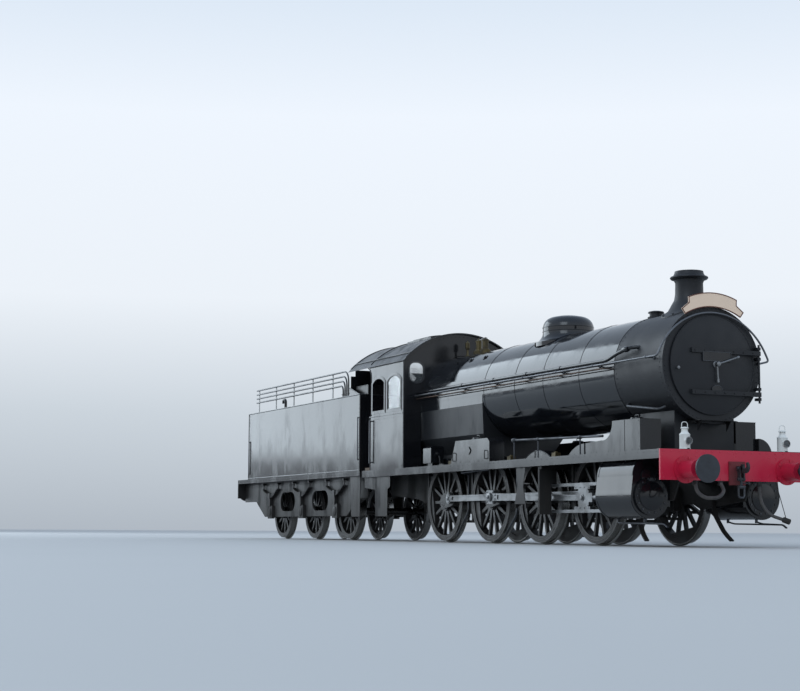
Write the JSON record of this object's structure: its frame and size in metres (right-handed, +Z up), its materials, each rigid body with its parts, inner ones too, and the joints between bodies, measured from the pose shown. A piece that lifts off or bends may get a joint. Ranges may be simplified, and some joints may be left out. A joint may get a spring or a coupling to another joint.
{
  "type": "steam locomotive",
  "caption": "Eight-coupled goods steam locomotive with outside cylinders and a six-wheeled tender, whose wheels, rods and smokebox door move.",
  "frame": {"origin": "on the floor under the middle of the length over buffers, on the centre line", "axes": "+X forward, +Y to the locomotive's left, +Z up"},
  "size_m": [19, 2.6, 4.093],
  "materials": {
    "frame_black": "dusty black paint",
    "black_paint": "glossy black paint",
    "red_paint": "satin crimson paint",
    "timber": "worn boards",
    "matte_black": "matte heat-proof black",
    "bright_steel": "oiled bright steel",
    "steel_grey": "black paint with bright tyres",
    "buffer_steel": "dark worn steel",
    "brass_dull": "dull brass"
  },
  "bodies": {
    "engine": {"axleboxes": "frame_black", "boiler": "black_paint", "buffer_beam": "red_paint", "cab": "black_paint", "cab_floor": "timber", "cab_roof": "black_paint", "chimney": "matte_black", "cylinders": "black_paint", "dome": "black_paint", "door_hinge": "black_paint", "drag_box": "black_paint", "firebox": "black_paint", "frame_stretchers": "black_paint", "front_buffers": "buffer_steel", "front_sandboxes": "black_paint", "main_frame": "frame_black", "motion_brackets": "frame_black", "rear_sandboxes": "black_paint", "running_plate": "black_paint", "safety_valves": "brass_dull", "slide_bars": "bright_steel", "smokebox": "matte_black", "splashers": "black_paint"},
    "tender": {"coal_rails": "black_paint", "drawbar": "black_paint", "tender_beam": "black_paint", "tender_buffers": "buffer_steel", "tender_deck": "black_paint", "tender_frame": "frame_black", "tender_tank": "black_paint"},
    "connecting_rod_left": {"connecting_rod_left": "bright_steel"},
    "connecting_rod_right": {"connecting_rod_right": "bright_steel"},
    "coupling_rod_left": {"coupling_rod_left": "bright_steel"},
    "coupling_rod_right": {"coupling_rod_right": "bright_steel"},
    "crosshead_left": {"crosshead_left": "bright_steel"},
    "crosshead_right": {"crosshead_right": "bright_steel"},
    "driving_wheels": {"driving_wheelset": "steel_grey"},
    "leading_wheels": {"leading_wheelset": "steel_grey"},
    "second_wheels": {"second_wheelset": "steel_grey"},
    "smokebox_door": {"smokebox_door": "matte_black"},
    "tender_front_wheels": {"tender_front_wheelset": "steel_grey"},
    "tender_middle_wheels": {"tender_middle_wheelset": "steel_grey"},
    "tender_rear_wheels": {"tender_rear_wheelset": "steel_grey"},
    "trailing_wheels": {"trailing_wheelset": "steel_grey"}
  },
  "joints": [
    {"name": "driving_spin", "type": "hinge", "parent": "engine", "child": "driving_wheels", "pos_m": [3.056, 0, 0.7295], "axis": [0, 1, 0], "continuous": true},
    {"name": "leading_spin", "type": "hinge", "parent": "engine", "child": "leading_wheels", "pos_m": [6.51, 0, 0.7295], "axis": [0, 1, 0], "continuous": true},
    {"name": "second_spin", "type": "hinge", "parent": "engine", "child": "second_wheels", "pos_m": [4.783, 0, 0.7295], "axis": [0, 1, 0], "continuous": true},
    {"name": "trailing_spin", "type": "hinge", "parent": "engine", "child": "trailing_wheels", "pos_m": [1.278, 0, 0.7295], "axis": [0, 1, 0], "continuous": true},
    {"name": "coupling_rod_right_turn", "type": "hinge", "parent": "driving_wheels", "child": "coupling_rod_right", "pos_m": [3.38118, -0.8875, 0.78684], "axis": [0, 1, 0], "continuous": true},
    {"name": "crosshead_right_slide", "type": "slide", "parent": "engine", "child": "crosshead_right", "axis": [1, 0, 0], "range_m": [-0.65485, 0.00556]},
    {"name": "connecting_rod_right_swing", "type": "hinge", "parent": "crosshead_right", "child": "connecting_rod_right", "pos_m": [6.43065, -0.975, 0.7295], "axis": [0, 1, 0], "range_deg": [-7.29, 5.14]},
    {"name": "coupling_rod_left_turn", "type": "hinge", "parent": "driving_wheels", "child": "coupling_rod_left", "pos_m": [2.99866, 0.8875, 1.05468], "axis": [0, 1, 0], "continuous": true},
    {"name": "crosshead_left_slide", "type": "slide", "parent": "engine", "child": "crosshead_left", "axis": [1, 0, 0], "range_m": [-0.25548, 0.40492]},
    {"name": "connecting_rod_left_swing", "type": "hinge", "parent": "crosshead_left", "child": "connecting_rod_left", "pos_m": [6.03128, 0.975, 0.7295], "axis": [0, 1, 0], "range_deg": [-12.34, 0.09]},
    {"name": "smokebox_door_hinge", "type": "hinge", "parent": "engine", "child": "smokebox_door", "pos_m": [8.48, 0.78, 2.638], "axis": [0, 0, 1], "range_deg": [0, 140]},
    {"name": "tender_turn", "type": "hinge", "parent": "engine", "child": "tender", "pos_m": [-1.29, 0, 1.088], "axis": [0, 0, 1], "range_deg": [-3, 3]},
    {"name": "tender_front_spin", "type": "hinge", "parent": "tender", "child": "tender_front_wheels", "pos_m": [-3.19, 0, 0.5995], "axis": [0, 1, 0], "continuous": true},
    {"name": "tender_middle_spin", "type": "hinge", "parent": "tender", "child": "tender_middle_wheels", "pos_m": [-5.12, 0, 0.5995], "axis": [0, 1, 0], "continuous": true},
    {"name": "tender_rear_spin", "type": "hinge", "parent": "tender", "child": "tender_rear_wheels", "pos_m": [-7.05, 0, 0.5995], "axis": [0, 1, 0], "continuous": true}
  ],
  "couplings": [
    {"joint": "leading_spin", "follows": "driving_spin", "ratio": 1},
    {"joint": "second_spin", "follows": "driving_spin", "ratio": 1},
    {"joint": "trailing_spin", "follows": "driving_spin", "ratio": 1},
    {"joint": "coupling_rod_right_turn", "follows": "driving_spin", "ratio": -1},
    {"joint": "coupling_rod_left_turn", "follows": "driving_spin", "ratio": -1}
  ]
}
